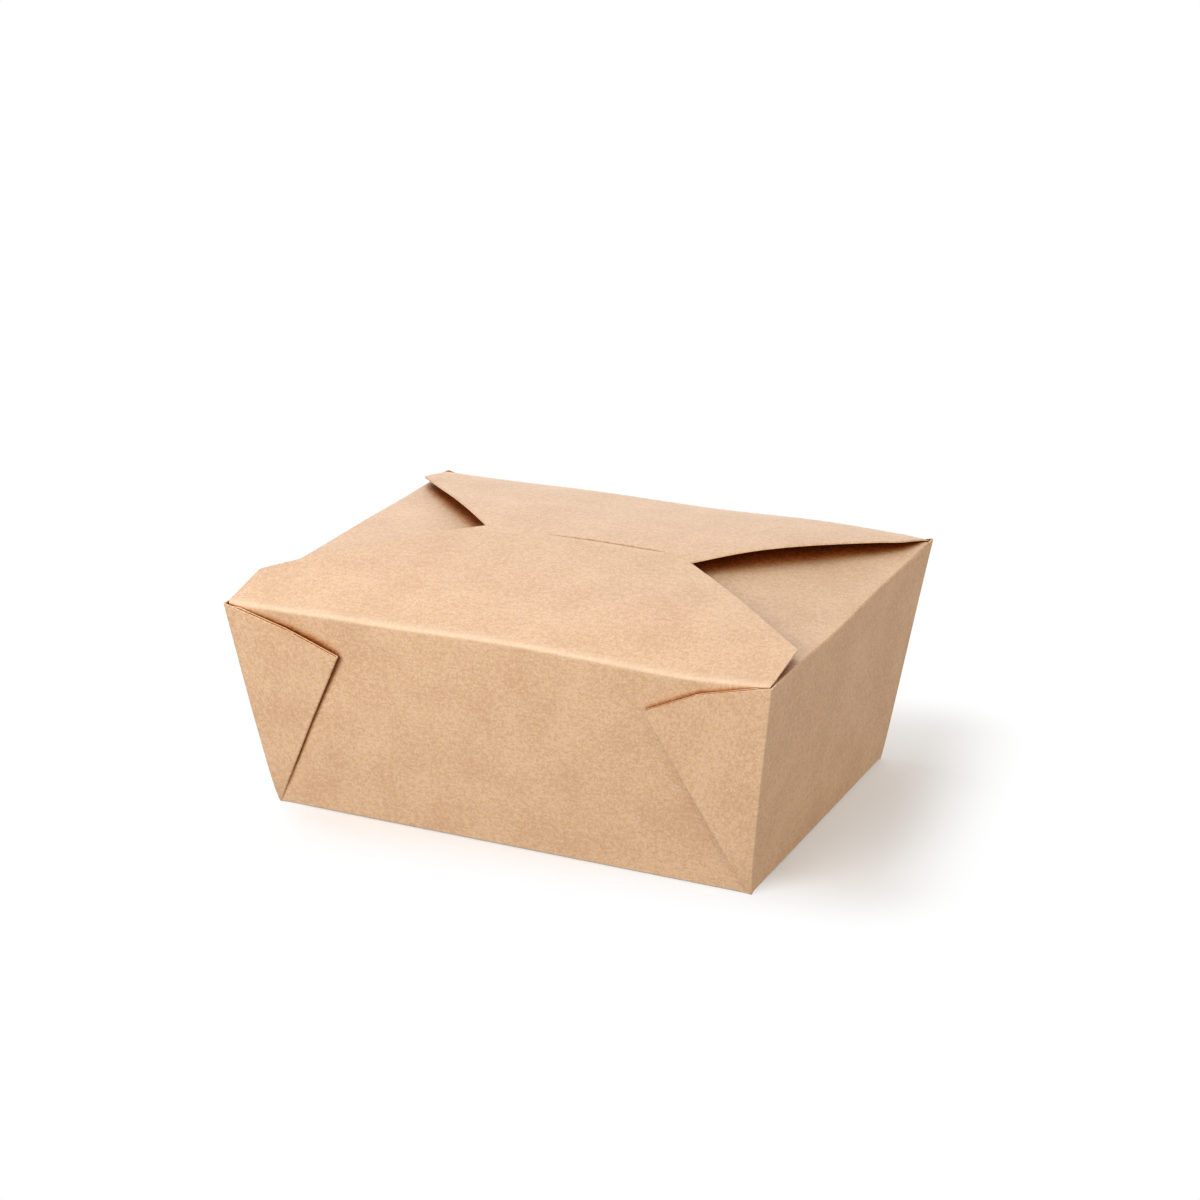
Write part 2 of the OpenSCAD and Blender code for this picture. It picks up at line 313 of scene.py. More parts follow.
class Corner:
    """One folded corner of the carton, worked out for the side where x and y are positive.

    Every point lies on a ray from the base corner: distance along the ray, lean
    of the ray in the long wall's plane, and distance out from that plane.
    """

    def __init__(self, sizes, x_sign, y_sign):
        side = FRONT if y_sign < 0 else BACK
        self.spring, narrower, self.notch_share, notch_more, fold_more = FOLDS[x_sign, y_sign]
        self.up, self.out = side.up, side.out
        self.lean = math.atan(END_RUN / side.slope)
        self.end_up = unit([END_RUN, 0, side.rim[1] - BASE_CORNER[2]])
        end_edge = math.atan((sizes.web_rim_depth - BASE_CORNER[1]) / side.slope)
        self.half = (math.pi / 2 - self.lean - end_edge) / 2 - math.radians(narrower)
        turn = turn_between(self.up, unit(OVER_CORNER))
        rim_reach = sizes.rim_radius * math.tan(turn / 2)
        self.wall_ray = (side.slope - rim_reach) / math.cos(self.lean)
        self.top_ray = (WEB_TOP - BASE_CORNER[2] - 2 * PITCH * self.out[2]) / (
            math.cos(self.lean) * self.up[2]
        )
        self.notch_ray = sizes.web_notch_length + notch_more * MM
        self.fold_ray = sizes.web_fold_length + fold_more * MM

    def ray(self, lean):
        """Direction of a ray: up the slope times cos(lean) plus X times sin(lean)."""
        lean = np.asarray(lean)[..., None]
        return self.up * np.cos(lean) + np.array([1.0, 0, 0]) * np.sin(lean)

    def outline(self, share):
        """Length of the web's rays along its cut edge, for shares of the web's angle.

        Straight from the rim corner to the notch and, a small step lower, from
        the notch to the diagonal's end. On the line between two rays r1 at a1
        and r2 at a2: r1 r2 sin(a2 - a1) / (r1 sin(a - a1) + r2 sin(a2 - a)).
        """
        angle = self.half * np.asarray(share, float)
        at_notch = self.half * self.notch_share

        def line(first, first_angle, last, last_angle):
            return first * last * math.sin(last_angle - first_angle) / (
                first * np.sin(angle - first_angle) + last * np.sin(last_angle - angle)
            )

        upper = line(self.top_ray, 0.0, self.notch_ray + NOTCH_STEP, at_notch)
        lower = line(self.notch_ray, at_notch, self.fold_ray, self.half)
        return np.where(angle < at_notch - NEAR, upper, lower)

    def place(self, distance, in_plane, out):
        """Point at a distance along its ray, an arc in_plane from the corner line, and out."""
        lean = self.lean + in_plane / np.maximum(distance, 1e-7)
        return BASE_CORNER + distance[..., None] * self.ray(lean) + out[..., None] * self.out

    def end_crease(self, distance, size):
        """Columns of points round the crease between the outer layer and the end wall."""
        line = self.ray(self.lean)
        out = 2 * PITCH * size[:, None] * self.out
        before = np.cross(self.out, line)
        before *= np.sign(before[0])
        after = np.cross([self.end_up[2], 0, -self.end_up[0]], line)
        after *= -np.sign(after[1])
        corner = BASE_CORNER + distance[:, None] * line + out
        return np.swapaxes(crease_rows(corner, before, after, CORNER_RADIUS * size, 6), 0, 1)

    def part(self):
        """The web: fold at the wall, inner layer, diagonal fold, outer layer, corner crease.

        Each layer is a fan of rays. Its arc from the corner line is its share of the
        web's angle times the distance, less the room that the folds take. The layers
        close up towards the base corner, where the sheet is one point.
        """
        notch = self.notch_share
        into = np.unique(np.concatenate([np.linspace(0, 1, 11), [notch, 0.97]]))
        back = np.unique(np.concatenate([np.linspace(0, 1, 17), [notch, notch - 0.006, 0.97]]))
        back = back[::-1][1:-1]
        fold = np.linspace(-math.pi / 2, math.pi / 2, 9)
        small = PITCH / 2
        rows = WALL_ROWS[:, None]
        points, rays, turns, wear_and_highlight_layers = [], [], [], []

        # Each layer's folds are paler: stretched fibres, and a painted highlight on the rounded
        # folds
        def add(ray_length, share, in_plane, level, wear, turn=None):
            distance = rows * ray_length
            size = rise(distance, PARTING)
            lift = self.spring * (distance / SPRING_AT) ** 2 * np.asarray(share) ** 1.6
            points.append(self.place(distance, in_plane(distance, size), level * size + lift))
            rays.append(ray_length)
            turns.append(share if turn is None else turn)
            wear_and_highlight_layers.append(np.broadcast_to(wear, distance.shape))

        near = np.exp(-into / 0.06)
        inner_rays = self.outline(into) * (1 - near) + self.wall_ray * near
        inner_rays[0] = self.wall_ray
        inner_rays, into = inner_rays[:-1], into[:-1]
        add(np.full(8, self.wall_ray), np.zeros(8),
            lambda d, g: g * (small * np.cos(fold[:-1]) - FOLD_INSET),
            small * (1 + np.sin(fold[:-1])), 0.2)
        add(inner_rays, into,
            lambda d, g: -FOLD_INSET * g - into * (d * self.half - (FOLD_INSET + small) * g),
            np.full(len(into), PITCH), 0.0)
        add(np.full(9, float(self.outline(1.0))), np.ones(9),
            lambda d, g: -d * self.half + small * g * (1 - np.cos(fold)),
            PITCH * 1.5 + small * np.sin(fold), 0.25)
        add(self.outline(back), back,
            lambda d, g: -CORNER_RADIUS * g - back * (d * self.half - (CORNER_RADIUS + small) * g),
            np.full(len(back), 2 * PITCH), 0.0, 2 - back)

        distance = WALL_ROWS * self.top_ray
        arc = self.end_crease(distance, rise(distance, PARTING))
        count = arc.shape[1]
        points.append(arc)
        rays.append(np.full(count, self.top_ray))
        turns.append(np.full(count, 2.0))
        # The corner crease is palest halfway round: stretched fibres and a painted highlight
        crease_wear_and_highlight = 0.6 * np.sin(np.linspace(0, math.pi, count))
        wear_and_highlight_layers.append(np.broadcast_to(crease_wear_and_highlight, arc.shape[:2]))

        angle = -math.pi / 2 + self.lean + np.concatenate(turns) * self.half
        distance = rows * np.concatenate(rays)
        way = np.stack([np.cos(angle), np.sin(angle)], -1)
        blank = BASE_CORNER[:2] + distance[..., None] * way
        blank[..., 1] = BASE_CORNER[1] * 2 - blank[..., 1]
        return Part(np.concatenate(points, 1), blank, np.concatenate(wear_and_highlight_layers, 1))


def wall_between(first_edge, last_edge, foot, share):
    """A wall between its two side edges.

    Row by row a straight line between the edges, first * (1 - s) + last * s with s
    from 0 to 1, plus what is left of the bottom crease's rounding, (1 - row) * foot.
    """
    across = ((share + 1) / 2)[None, :, None]
    lines = first_edge[:, None] * (1 - across) + last_edge[:, None] * across
    return lines + (1 - WALL_ROWS[:, None, None]) * foot[None]


def dented(wall, side, inside):
    """A long wall pushed in by depth * e to the power of -(x / reach)^2 - (z / reach)^2."""
    hold = inside[None] * np.minimum(1, (1 - WALL_ROWS) * 8)[:, None]
    for x, z, wide, high, depth in side.dents:
        far = ((wall[..., 0] - x) / wide) ** 2 + ((wall[..., 2] - z) / high) ** 2
        wall = wall - (depth * np.exp(-far) * hold)[..., None] * side.out
    return wall


def lifted(points, lifts, hold):
    """Points raised by rounded bumps: lift * e to the power of -(x / reach)^2 - (y / reach)^2.

    The lid's twist, its rise times x, fades towards the rims.
    """
    x, y = points[..., 0], points[..., 1]
    rise_by = LID_TWIST * x * np.exp(-((y / TWIST_REACH) ** 2))
    for at_x, at_y, wide, deep, lift, least in lifts:
        bump = lift * np.exp(-(((x - at_x) / wide) ** 2) - ((y - at_y) / deep) ** 2)
        rise_by = rise_by + np.where(y > least, bump, 0)
    moved = points.copy()
    moved[..., 2] += rise_by * hold
    return moved


def long_panel(sizes, side, left, right, share, stops):
    """A long wall between two corners, and its flap, for the side where y is positive.

    Returns the base crease, the wall with rim crease and flap, and the distance of
    each of its rows from the middle line, infinite below the flap.
    """
    foot_line, bottom = foot_crease(share, 0, side.up, sizes.base_radius)
    left_edge = left.part().points[:, 0] * np.array([-1.0, 1, 1])
    wall = wall_between(left_edge, right.part().points[:, 0], bottom[-1] - foot_line, share)
    inside = np.minimum(1, (1 - np.abs(share)) * 12)
    wall = dented(wall, side, inside)
    after = side.arch_start()
    reach = sizes.rim_radius * math.tan(turn_between(side.up, after) / 2)
    radius = np.full(len(share), sizes.rim_radius)
    crease = crease_rows(wall[-1] + side.up * reach, side.up, after, radius)
    grow = np.linspace(0, 1, len(crease))[:, None] * (sizes.flap_root - np.abs(wall[-1, -1, 0]))
    crease[..., 0] += grow * share
    start = crease[-1, 0, 1]
    rows = side.flap_rows(start, stops)
    half = side.half_widths(rows, sizes.flap_root, sizes.edge_fibre, share)
    across, height = rows[:, None], side.arch(rows)[:, None]
    flap = np.stack([half * share, *np.broadcast_arrays(across, height, half)[:2]], -1)
    surface = np.concatenate([wall, crease[1:], flap])
    hold = np.concatenate([
        WALL_ROWS[:, None] ** 8 * inside, np.ones((len(crease) - 1, 1)) * inside,
        np.ones(half.shape),
    ])
    surface = lifted(surface, side.lifts, hold)
    run = BASE_CORNER[1] + np.concatenate([
        WALL_ROWS * side.slope,
        side.slope + np.linspace(0, RIM_ARC, len(crease))[1:],
        side.slope + RIM_ARC + (start - rows),
    ])
    # The creases are paler: stretched fibres, and a painted highlight along the rounded folds
    wear = np.concatenate([
        np.zeros(len(wall) - 2), [0.1, 0.5], np.ones(len(crease) - 2), [0.7, 0.1],
        np.zeros(len(flap) - 1),
    ])
    # The base crease is paler: stretched fibres, and a painted highlight along the foot
    foot = Part(bottom, on_blank(bottom, base_run(0, len(bottom)), 0), 0.9)
    panel = Part(surface, on_blank(surface, run, 0), wear[:, None])
    return foot, panel, np.concatenate([np.full(len(surface) - len(flap), np.inf), rows])


def end_panel(sizes, front, back, share):
    """An end wall with its flap, for the side where x is positive.

    The flap is flat, and its half width falls from the root's to the free edge's
    with the distance to the power of 1.6, so its long edges curve slightly.
    """
    foot_line, bottom = foot_crease(share, 1, END_UP, sizes.base_radius)
    front_edge = front.part().points[:, -1] * np.array([1.0, -1, 1])
    back_edge = back.part().points[:, -1]
    after = np.array([-math.cos(sizes.end_flap_slope), 0, math.sin(sizes.end_flap_slope)])
    reach = sizes.end_radius * math.tan(turn_between(END_UP, after) / 2)
    rooted = np.abs(share) <= sizes.end_flap_share + NEAR
    rim_drop = (0.5 * (front_edge[-1, 2] + back_edge[-1, 2]) - END_RIM[1]) / END_UP[2]
    wall = wall_between(front_edge, back_edge, bottom[-1] - foot_line, share)
    drop = np.where(rooted, reach + rim_drop, 0.0)
    wall = wall - WALL_ROWS[:, None, None] ** 6 * drop[None, :, None] * END_UP
    inner = share[rooted]
    hinge = wall[-1, rooted] + END_UP * reach
    hinge[:, ::2] = hinge[:, ::2].mean(0)
    crease = crease_rows(hinge, END_UP, after, np.full(len(inner), sizes.end_radius))
    crease[0] = wall[-1, rooted]
    root_half = np.abs(crease[-1, -1, 1])
    rows = np.concatenate([np.linspace(0, 1, 20)[1:-2], [0.965, 0.985, 1.0]])
    half = root_half + (0.5 * sizes.end_flap_tip - root_half) * rows**1.6
    half = np.where(rows > 0.98, half - 0.5 * MM, half)  # the free edge's blunted corners
    run = crease[-1][None] + rows[:, None, None] * sizes.end_flap_length * after
    run[..., 1] = half[:, None] * (inner / inner[-1])[None]
    flap = np.concatenate([crease, run])
    flap_run = BASE_CORNER[0] + END_SLOPE + np.concatenate([
        np.linspace(0, END_ARC, len(crease)), END_ARC + rows * sizes.end_flap_length
    ])
    # The end crease is only faintly paler: stretched fibres and a painted highlight
    wear = np.concatenate([np.full(len(crease), 0.08), [0.04], np.zeros(len(rows) - 1)])
    return [
        # The base crease is paler: stretched fibres and a painted highlight
        Part(bottom, on_blank(bottom, base_run(1, len(bottom)), 1), 0.4),
        Part(wall, on_blank(wall, BASE_CORNER[0] + WALL_ROWS * END_SLOPE, 1)),
        Part(flap, on_blank(flap, flap_run, 1), wear[:, None]),
    ]


def base_patch(sizes, share_x, share_y):
    """The flat base: x and y are their shares of the base, less the creases' reach."""
    turn_end, turn_long = math.acos(END_UP[0]), math.acos(FRONT.up[1])
    x_reach = crease_radius(share_y, sizes.base_radius) * math.tan(turn_end / 2)
    y_reach = crease_radius(share_x, sizes.base_radius) * math.tan(turn_long / 2)
    points = np.stack([
        share_x[None, :] * (BASE_CORNER[0] - x_reach[:, None]),
        share_y[:, None] * (BASE_CORNER[1] - y_reach[None, :]),
        np.full((len(share_y), len(share_x)), BASE_CORNER[2]),
    ], -1)
    return Part(points, points[..., :2])


def tongue_part(sizes, start):
    """The tongue below its fold, from the row of points where it starts, y positive.

    Rows run down a circle about the rim crease, each a share of the tongue's
    length, which is shorter by tip radius - sqrt(tip radius^2 - x^2) off its middle.
    """
    x = start[:, 0] - (start[0, 0] + start[-1, 0]) / 2
    radius_line = unit(np.array([0, start[0, 1] - FRONT.rim[0], start[0, 2] - FRONT.rim[1]]))
    down = np.array([0, -abs(radius_line[2]), -abs(radius_line[1])])
    along = unit(AT_TIP)
    reach = sizes.tongue_radius * math.tan(turn_between(along, down) / 2)
    radius = np.full(len(x), sizes.tongue_radius)
    fold = crease_rows(start + along * reach, along, down, radius, 6)
    fold[0] = start
    rows = np.linspace(0, 1, 8)[1:]
    tip = sizes.tongue_tip_radius
    lengths = sizes.tongue_length - (tip - np.sqrt(tip**2 - x**2))
    strip = fold[-1][None] + rows[:, None, None] * lengths[None, :, None] * down
    points = np.concatenate([fold, strip])
    run = TONGUE_ON_BLANK + np.concatenate([
        np.linspace(0, TONGUE_ARC, len(fold)), TONGUE_ARC + rows * sizes.tongue_length
    ])
    # The tongue's fold is paler: stretched fibres and a painted highlight
    wear = np.concatenate([np.full(len(fold), 0.6), np.zeros(len(rows))])
    return Part(points, on_blank(points, run, 0), wear[:, None])


def lips(sizes, panel, share, left, right):
    """The front flap's last strip on both sides of the tongue, from its fold to the free edge."""
    tip_half = FRONT.half_widths(np.array([FRONT.tip]), sizes.flap_root, 0.0, share)[0]
    at_tongue = np.minimum(np.abs(share - left), np.abs(share - right)) < NEAR
    lip = panel.points[-1].copy()
    lip[:, 0] = np.where(at_tongue, lip[:, 0], share * tip_half)
    lip[:, 1] = FRONT.tip
    lip[:, 2] += FRONT.arch(FRONT.tip) - FRONT.arch(TONGUE_FOLD)
    strip = np.stack([panel.points[-1], lip])
    blank = on_blank(strip, np.full(2, panel.blank[-1, 0, 1]), 0)
    sides = (share <= left + NEAR, share >= right - NEAR)
    return [Part(strip[:, side], blank[:, side]) for side in sides]


def unevenness(points):
    """How far handling has moved each point of the board.

    Slow waves of a few tenths of a millimetre, the rounded PUSHES, and each of the
    CORNER_SHIFTS times the point's shares of the length, the depth and the height.
    """
    x, y, z = points.T
    lift = np.minimum(1, np.maximum(0, z) / SETTLED)
    wave_y = 0.28 * np.sin(x * 47 + z * 21 + 0.7) + 0.14 * np.sin(x * 103 - z * 34 + 2.0)
    wave_x = 0.24 * np.sin(y * 58 + z * 25 + 1.1) + 0.12 * np.sin(y * 121 + z * 47)
    wave_z = 0.22 * np.sin(x * 42 + y * 33 + 0.4) + 0.12 * np.sin(x * 88 - y * 71 + 1.9)
    moved = np.stack([wave_x * lift, wave_y * lift, wave_z * lift**3], -1)
    for middle, reach, move in PUSHES:
        far = (((points / MM - middle) / reach) ** 2).sum(-1)
        moved += np.exp(-far)[:, None] * move
    along = np.clip((x / END_RIM[0] + 1) / 2, 0, 1)
    back = np.clip((y / RIM_HALF_DEPTH + 1) / 2, 0, 1)
    high = np.clip(z / FRONT.rim[1], 0, 1)
    shares = [np.stack([1 - share, share]) for share in (high, back, along)]
    moved += np.einsum("zyxc,zn,yn,xn->nc", CORNER_SHIFTS, *shares)
    return moved * MM


def grid_faces(rows, cols, first, keep=None):
    """Quads of a grid whose points are numbered row by row from first."""
    index = first + np.arange(rows * cols).reshape(rows, cols)
    quads = np.stack([index[:-1, :-1], index[:-1, 1:], index[1:, 1:], index[1:, :-1]], -1)
    return quads[keep] if keep is not None else quads.reshape(-1, 4)


def sheet_mesh(name, parts):
    """One welded sheet from its parts, through the middle of the board, outer side outwards."""
    first, faces = 0, []
    for part in parts:
        rows, cols = part.points.shape[:2]
        faces.append(grid_faces(rows, cols, first, part.keep))
        first += rows * cols
    points, blank, wear = [
        np.concatenate([getattr(p, label).reshape(-1, width) for p in parts])
        for label, width in (("points", 3), ("blank", 2), ("wear", 1))
    ]
    mesh = bpy.data.meshes.new(name)
    mesh.from_pydata(points.tolist(), [], np.concatenate(faces).tolist())
    for label, values in (("blank_u", blank[:, 0]), ("blank_v", blank[:, 1]), ("wear", wear)):
        data = mesh.attributes.new(label, "FLOAT", "POINT").data
        data.foreach_set("value", values.astype(np.float32).ravel())
    work = bmesh.new()
    work.from_mesh(mesh)
    bmesh.ops.remove_doubles(work, verts=work.verts, dist=2e-6)
    loose = [v for v in work.verts if not v.link_faces]
    bmesh.ops.delete(work, geom=loose, context="VERTS")
    bmesh.ops.recalc_face_normals(work, faces=work.faces)

    def height(face):
        middle = face.calc_center_median()
        return middle.z + abs(middle.x)

    if min(work.faces, key=height).normal.z > 0:
        bmesh.ops.reverse_faces(work, faces=work.faces)
    work.to_mesh(mesh)
    work.free()
    return mesh


def values_of(items, label, width=1, kind=np.float32):
    """One property of all points, loops or faces of a mesh, width numbers for each."""
    values = np.zeros(len(items) * width, kind)
    items.foreach_get(label, values)
    return values.reshape(-1, width) if width > 1 else values


def faces_of(mesh):
    """Corner numbers of a mesh's triangles and of its quads."""
    loops = values_of(mesh.loops, "vertex_index", kind=np.int32)
    starts = values_of(mesh.polygons, "loop_start", kind=np.int32)
    totals = values_of(mesh.polygons, "loop_total", kind=np.int32)
    return [loops[starts[totals == n][:, None] + np.arange(n)] for n in (3, 4)]


def free_edges(faces, count):
    """Edges that only one face uses, in that face's direction."""
    edges = np.concatenate([
        np.stack([face, np.roll(face, -1, 1)], -1).reshape(-1, 2) for face in faces if len(face)
    ])
    key = np.sort(edges, 1) @ np.array([count, 1])
    _, where, uses = np.unique(key, return_index=True, return_counts=True)
    return edges[where[uses == 1]]


def thickened(mesh, board):
    """A closed board from a sheet through its middle, made uneven first.

    Both faces are the sheet moved half the thickness along the point normals, and a
    quad closes each free edge. Materials: outer face 0, inner face 1, cut edge 2.
    """
    count = len(mesh.vertices)
    points = values_of(mesh.vertices, "co", 3).astype(float)
    points += unevenness(points)
    mesh.vertices.foreach_set("co", points.astype(np.float32).ravel())
    mesh.update()
    normals = values_of(mesh.vertex_normals, "vector", 3).astype(float)
    triangles, quads = faces_of(mesh)
    free = free_edges((triangles, quads), count)
    rim = np.stack([free[:, 1], free[:, 0], free[:, 0] + count, free[:, 1] + count], -1)
    faces = [
        *triangles.tolist(), *quads.tolist(),
        *(triangles[:, ::-1] + count).tolist(), *(quads[:, ::-1] + count).tolist(),
        *rim.tolist(),
    ]
    made = bpy.data.meshes.new(mesh.name)
    both = np.concatenate([points + normals * board / 2, points - normals * board / 2])
    made.from_pydata(both.tolist(), [], faces)
    one_side = len(triangles) + len(quads)
    slots = np.repeat([0, 1, 2], [one_side, one_side, len(rim)]).astype(np.int32)
    made.polygons.foreach_set("material_index", slots)
    made.polygons.foreach_set("use_smooth", np.ones(len(faces), bool))
    u, v, wear = [
        np.tile(values_of(mesh.attributes[label].data, "value"), 2)
        for label in ("blank_u", "blank_v", "wear")
    ]
    made.attributes.new("wear", "FLOAT", "POINT").data.foreach_set("value", wear)
    corner = values_of(made.loops, "vertex_index", kind=np.int32)
    place = np.stack([u, v], -1)[corner]
    made.uv_layers.new(name="blank").data.foreach_set("uv", place.ravel())
    made.set_sharp_from_angle(angle=math.radians(38))
    made.update()
    bpy.data.meshes.remove(mesh)
    return made


def board_object(name, parts, context):
    """A piece of the carton: its sheet, thickened, with the board's three materials."""
    scene = context.scene
    made = thickened(sheet_mesh(name + "_sheet", parts), scene.carton_sizes.board)
    for material in board_materials(scene.board_finish):
        made.materials.append(material)
    obj = bpy.data.objects.new(name, made)
    scene.collection.objects.link(obj)
    return obj


def linear(hex_colour):
    """An sRGB hex value as linear red, green and blue."""
    values = np.array([int(hex_colour[i : i + 2], 16) / 255 for i in (1, 3, 5)])
    curved = np.where(values <= 0.04045, values / 12.92, ((values + 0.055) / 1.055) ** 2.4)
    return tuple(curved.tolist())


def node(tree, kind, settings=None, **inputs):
    """Adds a node, sets its properties, and sets or links its inputs.

    kind is its type without the ShaderNode in front. An input is named with _ for
    each space, or is i and its number. A node given for it links its first output.
    """
    made = tree.nodes.new("ShaderNode" + kind)
    for key, value in (settings or {}).items():
        setattr(made, key, value)
    for key, value in inputs.items():
        numbered = key[0] == "i" and key[1:].isdigit()
        socket = made.inputs[int(key[1:]) if numbered else key.replace("_", " ")]
        if isinstance(value, bpy.types.Node):
            value = value.outputs[0]
        if isinstance(value, bpy.types.NodeSocket):
            tree.links.new(value, socket)
        else:
            socket.default_value = value
    return made


def new_material(name):
    """An empty node material, and the function that adds a node to it."""
    material = bpy.data.materials.new(name)
    material.use_nodes = True
    material.node_tree.nodes.clear()
    return material, partial(node, material.node_tree)


def kraft_material(name, tones, crease, roughness, tooth, crevice_shade):
    """Unbleached kraft board.

    Pulp fibres pressed flat give a matt tan surface, mottled and in places rosier,
    with faint streaks along the grain and a fine tooth. The grain runs along the lid
    and up the end walls. Creases are paler, where folding has stretched the fibres,
    and this paleness is also a painted highlight along the rounded folds. Shade is
    painted into crevices: the colour turns a dark red-brown, as light there would have
    met the board several times, and the sheen goes.
    tones are the pale, rosy and dark fibres, tooth is the bump's strength, and the
    last argument is the power that the painted crevice shade adds to the colour.
    """
    pale, rosy, dark = tones
    material, add = new_material(name)
    place = add("UVMap", {"uv_map": "blank"})
    # Millimetres of the blank, the second stretched five times along the grain
    even = add("Mapping", Vector=place, Scale=(1000, 1000, 1))
    grain = add("Mapping", Vector=place, Scale=(200, 1000, 1))

    # Fibres of 0.7 mm, clumps of 1.7 mm, streaks 0.8 mm wide and clouds of 17 mm, with
    # scale per millimetre, detail and share. Real fibres are finer and wouldn't show
    pattern, fibres = 0.0, None
    for mapping, scale, detail, share in (
        (even, 1.5, 2.0, 0.36), (even, 0.6, 2.0, 0.24), (grain, 1.3, 3.0, 0.16),
        (even, 0.06, 2.0, 0.18),
    ):
        noise = add("TexNoise", {"noise_dimensions": "2D"}, Vector=mapping, Scale=scale,
                    Detail=detail, Roughness=0.6)
        pattern = add("Math", {"operation": "MULTIPLY_ADD"}, i0=noise, i1=share, i2=pattern)
        fibres = fibres or pattern
    level = add("MapRange", Value=pattern, From_Min=0.39, From_Max=0.55)
    clump = add("TexNoise", {"noise_dimensions": "2D"}, Vector=even, Scale=0.45, Detail=2.0,
                Roughness=0.6)
    rosier = add("MapRange", Value=clump, From_Min=0.38, From_Max=0.62)
    light = add("Mix", {"data_type": "RGBA"}, i0=rosier, i6=pale, i7=rosy)
    face = add("Mix", {"data_type": "RGBA"}, i0=level, i6=dark, i7=light.outputs[2])
    # Creases turn towards the crease colour: stretched fibres, and a painted highlight along the
    # rounded folds
    wear = add("Attribute", {"attribute_name": "wear"})
    rub_and_highlight = add("Math", {"operation": "MULTIPLY"}, i0=wear.outputs["Fac"], i1=0.45)
    worn_and_highlit = add("Mix", {"data_type": "RGBA"}, i0=rub_and_highlight, i6=face.outputs[2], i7=crease)

    # Painted shade: where board within 12 mm shelters it, the colour is raised to a power
    # and the sheen goes. The white floor doesn't, so this painted shade fades out towards the base
    shelter = add("AmbientOcclusion", {"samples": 12}, Distance=12 * MM)
    dark_here = add("MapRange", Value=shelter.outputs["AO"], From_Min=0.76, From_Max=0.16)
    coordinate = add("TexCoord")
    at = add("SeparateXYZ", Vector=coordinate.outputs["Object"])
    above = add("MapRange", Value=at.outputs["Z"], From_Min=6 * MM, From_Max=18 * MM)
    shut = add("Math", {"operation": "MULTIPLY"}, i0=dark_here, i1=above)
    power = add("Math", {"operation": "MULTIPLY_ADD"}, i0=shut, i1=crevice_shade, i2=1.0)
    deep = add("Gamma", Color=worn_and_highlit.outputs[2], Gamma=power)
    sheen = add("MapRange", Value=shut, To_Min=0.5, To_Max=0.0)
    bump = add("Bump", Height=fibres, Strength=tooth, Distance=0.08 * MM)
    board = add("BsdfPrincipled", Base_Color=deep, Roughness=roughness, Normal=bump,
                Specular_IOR_Level=sheen)
    add("OutputMaterial", Surface=board)
    return material


# The board's materials: the finish's colours, name, roughness, tooth and the power of the painted
# crevice shade
BOARD_FACES = (
    # Uncoated outer face, pressed on the paper machine: matt, with a fine tooth
    ("outer", "kraft_outer_face", 0.6, 0.3, 2.7),
    # Inner face under a thin grease-proof coating, which fills the tooth: a little smoother
    ("inner", "kraft_coated_inner_face", 0.45, 0.15, 2.7),
    # Die-cut edge: bare pulp, paler and rougher than the faces
    ("edge", "kraft_cut_edge", 0.9, 0.6, 0.5),
)


def board_materials(finish):
    """Outer face, inner face and cut edge of the board, made once for both pieces."""
    made = []
    for face, name, *settings in BOARD_FACES:
        tones = [(*getattr(finish, f"{face}_{tone}"), 1) for tone in ("pale", "rosy", "dark")]
        made.append(bpy.data.materials.get(name)
                    or kraft_material(name, tones, (*finish.crease, 1), *settings))
    return made


def length(name, default, description):
    """A length that a user may change."""
    return FloatProperty(name=name, description=description, default=default,
                         unit="LENGTH", subtype="DISTANCE")


def colour(name, default, description):
    """A colour that a user may change, from an sRGB hex value."""
    return FloatVectorProperty(name=name, description=description, default=linear(default),
                               size=3, min=0, max=1, subtype="COLOR")


class CartonSizes(bpy.types.PropertyGroup):
    """Sizes of the board, its creases, webs and flaps."""

    board: length("Board", 0.5 * MM, "Thickness of the kraft board")
    base_radius: length("Base crease", 1.0 * MM, "Radius of the creases round the base")
    rim_radius: length("Rim crease", 0.9 * MM, "Radius of the creases at the rim")
    web_rim_depth: length("Web rim", RIM_HALF_DEPTH, "Half depth over the corners at the rim")
    web_fold_length: length("Web fold", 62.6 * MM, "Length of a web's diagonal fold")
    web_notch_length: length("Web notch", 65.2 * MM,
                             "From the base corner to the notch in a web's edge")
    flap_root: length("Flap root", 84.6 * MM, "Half length of the long flaps at the rim")
    end_radius: length("End crease", 0.5 * MM, "Radius of the end flaps' creases")
    edge_fibre: length("Edge fibres", 0.03 * MM, "Unevenness of the slanted cut edges")
    end_flap_share: FloatProperty(name="End flap root", default=0.95, min=0.5, max=0.97,
                                  description="Share of an end wall that its flap folds from",
                                  subtype="FACTOR")
    end_flap_length: length("End flap", 54 * MM, "Length of the end flaps")
    end_flap_tip: length("End flap tip", 24 * MM, "Width of the end flaps' free edge")
    end_flap_slope: FloatProperty(name="End flap slope", default=math.radians(4.5),
                                  description="Slope of the end flaps",
                                  unit="ROTATION", subtype="ANGLE")
    tongue_length: length("Tongue", 12 * MM, "Length of the tongue below its fold")
    tongue_radius: length("Tongue fold", 0.7 * MM, "Radius of the tongue's fold")
    tongue_tip_radius: length("Tongue tip", 34 * MM, "Radius of the tongue's free edge")


